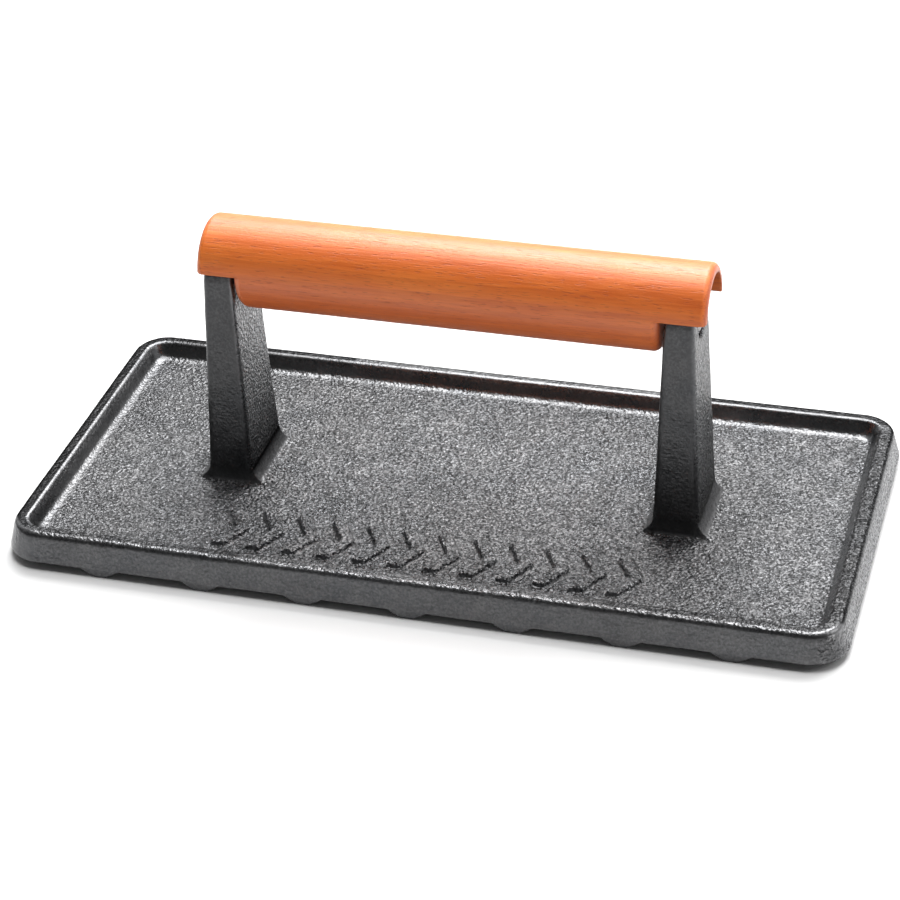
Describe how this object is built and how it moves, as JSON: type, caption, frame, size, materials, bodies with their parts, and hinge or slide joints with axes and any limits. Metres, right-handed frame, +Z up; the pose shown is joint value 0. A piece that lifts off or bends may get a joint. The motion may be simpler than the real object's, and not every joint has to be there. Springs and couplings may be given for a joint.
{
  "type": "griddle press",
  "caption": "Flat rectangular cast-iron griddle press with a raised rim, a ribbed underside and a round wood grip screwed between two standing posts.",
  "frame": {"origin": "middle of the resting plane at the rib bottoms, halfway between the two posts", "axes": "+X along the grip and the plate's length, +Y from the row of raised chevrons toward the back, +Z up"},
  "size_m": [0.2234, 0.1084, 0.0801],
  "materials": {
    "iron": "dark pre-seasoned sand-cast iron with a fine pebbled skin, satin",
    "wood": "orange-brown stained hardwood under satin varnish",
    "screw_steel": "zinc-plated steel, dulled",
    "washer_steel": "spring steel, dark"
  },
  "bodies": {
    "root": {"press_casting": "iron", "wood_grip": "wood", "left_screw": "screw_steel", "right_screw": "screw_steel", "left_washer": "washer_steel", "right_washer": "washer_steel"}
  },
  "joints": []
}
